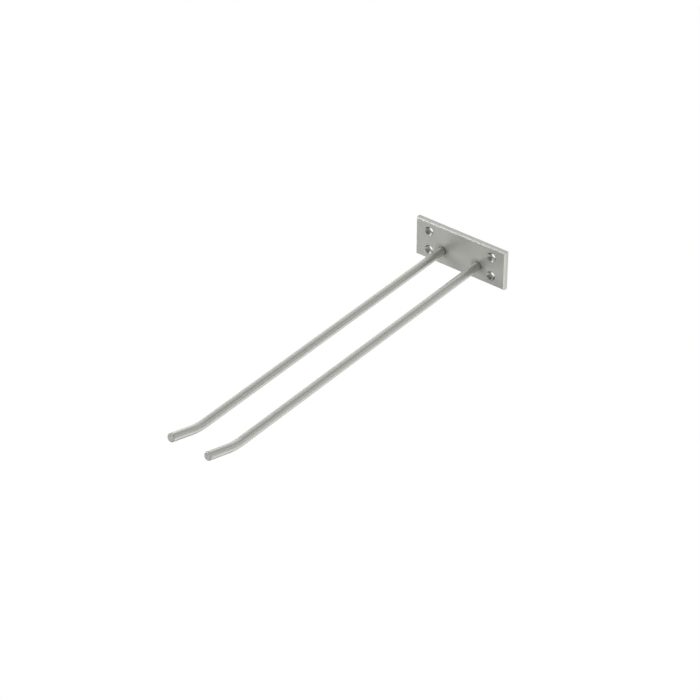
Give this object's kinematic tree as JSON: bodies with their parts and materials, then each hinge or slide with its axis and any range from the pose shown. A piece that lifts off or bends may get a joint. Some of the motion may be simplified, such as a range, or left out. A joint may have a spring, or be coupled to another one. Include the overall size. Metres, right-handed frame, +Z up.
{
  "type": "double wall hook",
  "caption": "Double straight wall hook: parallel steel rods with upturned tips, welded into a flat screw-on wall plate.",
  "frame": {"origin": "centre of the wall plate's back face, on the wall", "axes": "+X along the plate to the right as seen from the room, +Z up, +Y into the wall, so the rods reach out along -Y"},
  "size_m": [0.1, 0.381, 0.04],
  "materials": {
    "plate_steel": "even satin stainless steel with belt-ground edges and bright chamfered front edges",
    "rod_steel": "satin stainless steel, drawn along the rod, with sawn and deburred ends",
    "weld_steel": "weld metal ground flush with the back of the plate"
  },
  "bodies": {
    "root": {"wall_plate": "plate_steel", "left_rod": "rod_steel", "right_rod": "rod_steel", "left_weld": "weld_steel", "right_weld": "weld_steel"}
  },
  "joints": []
}
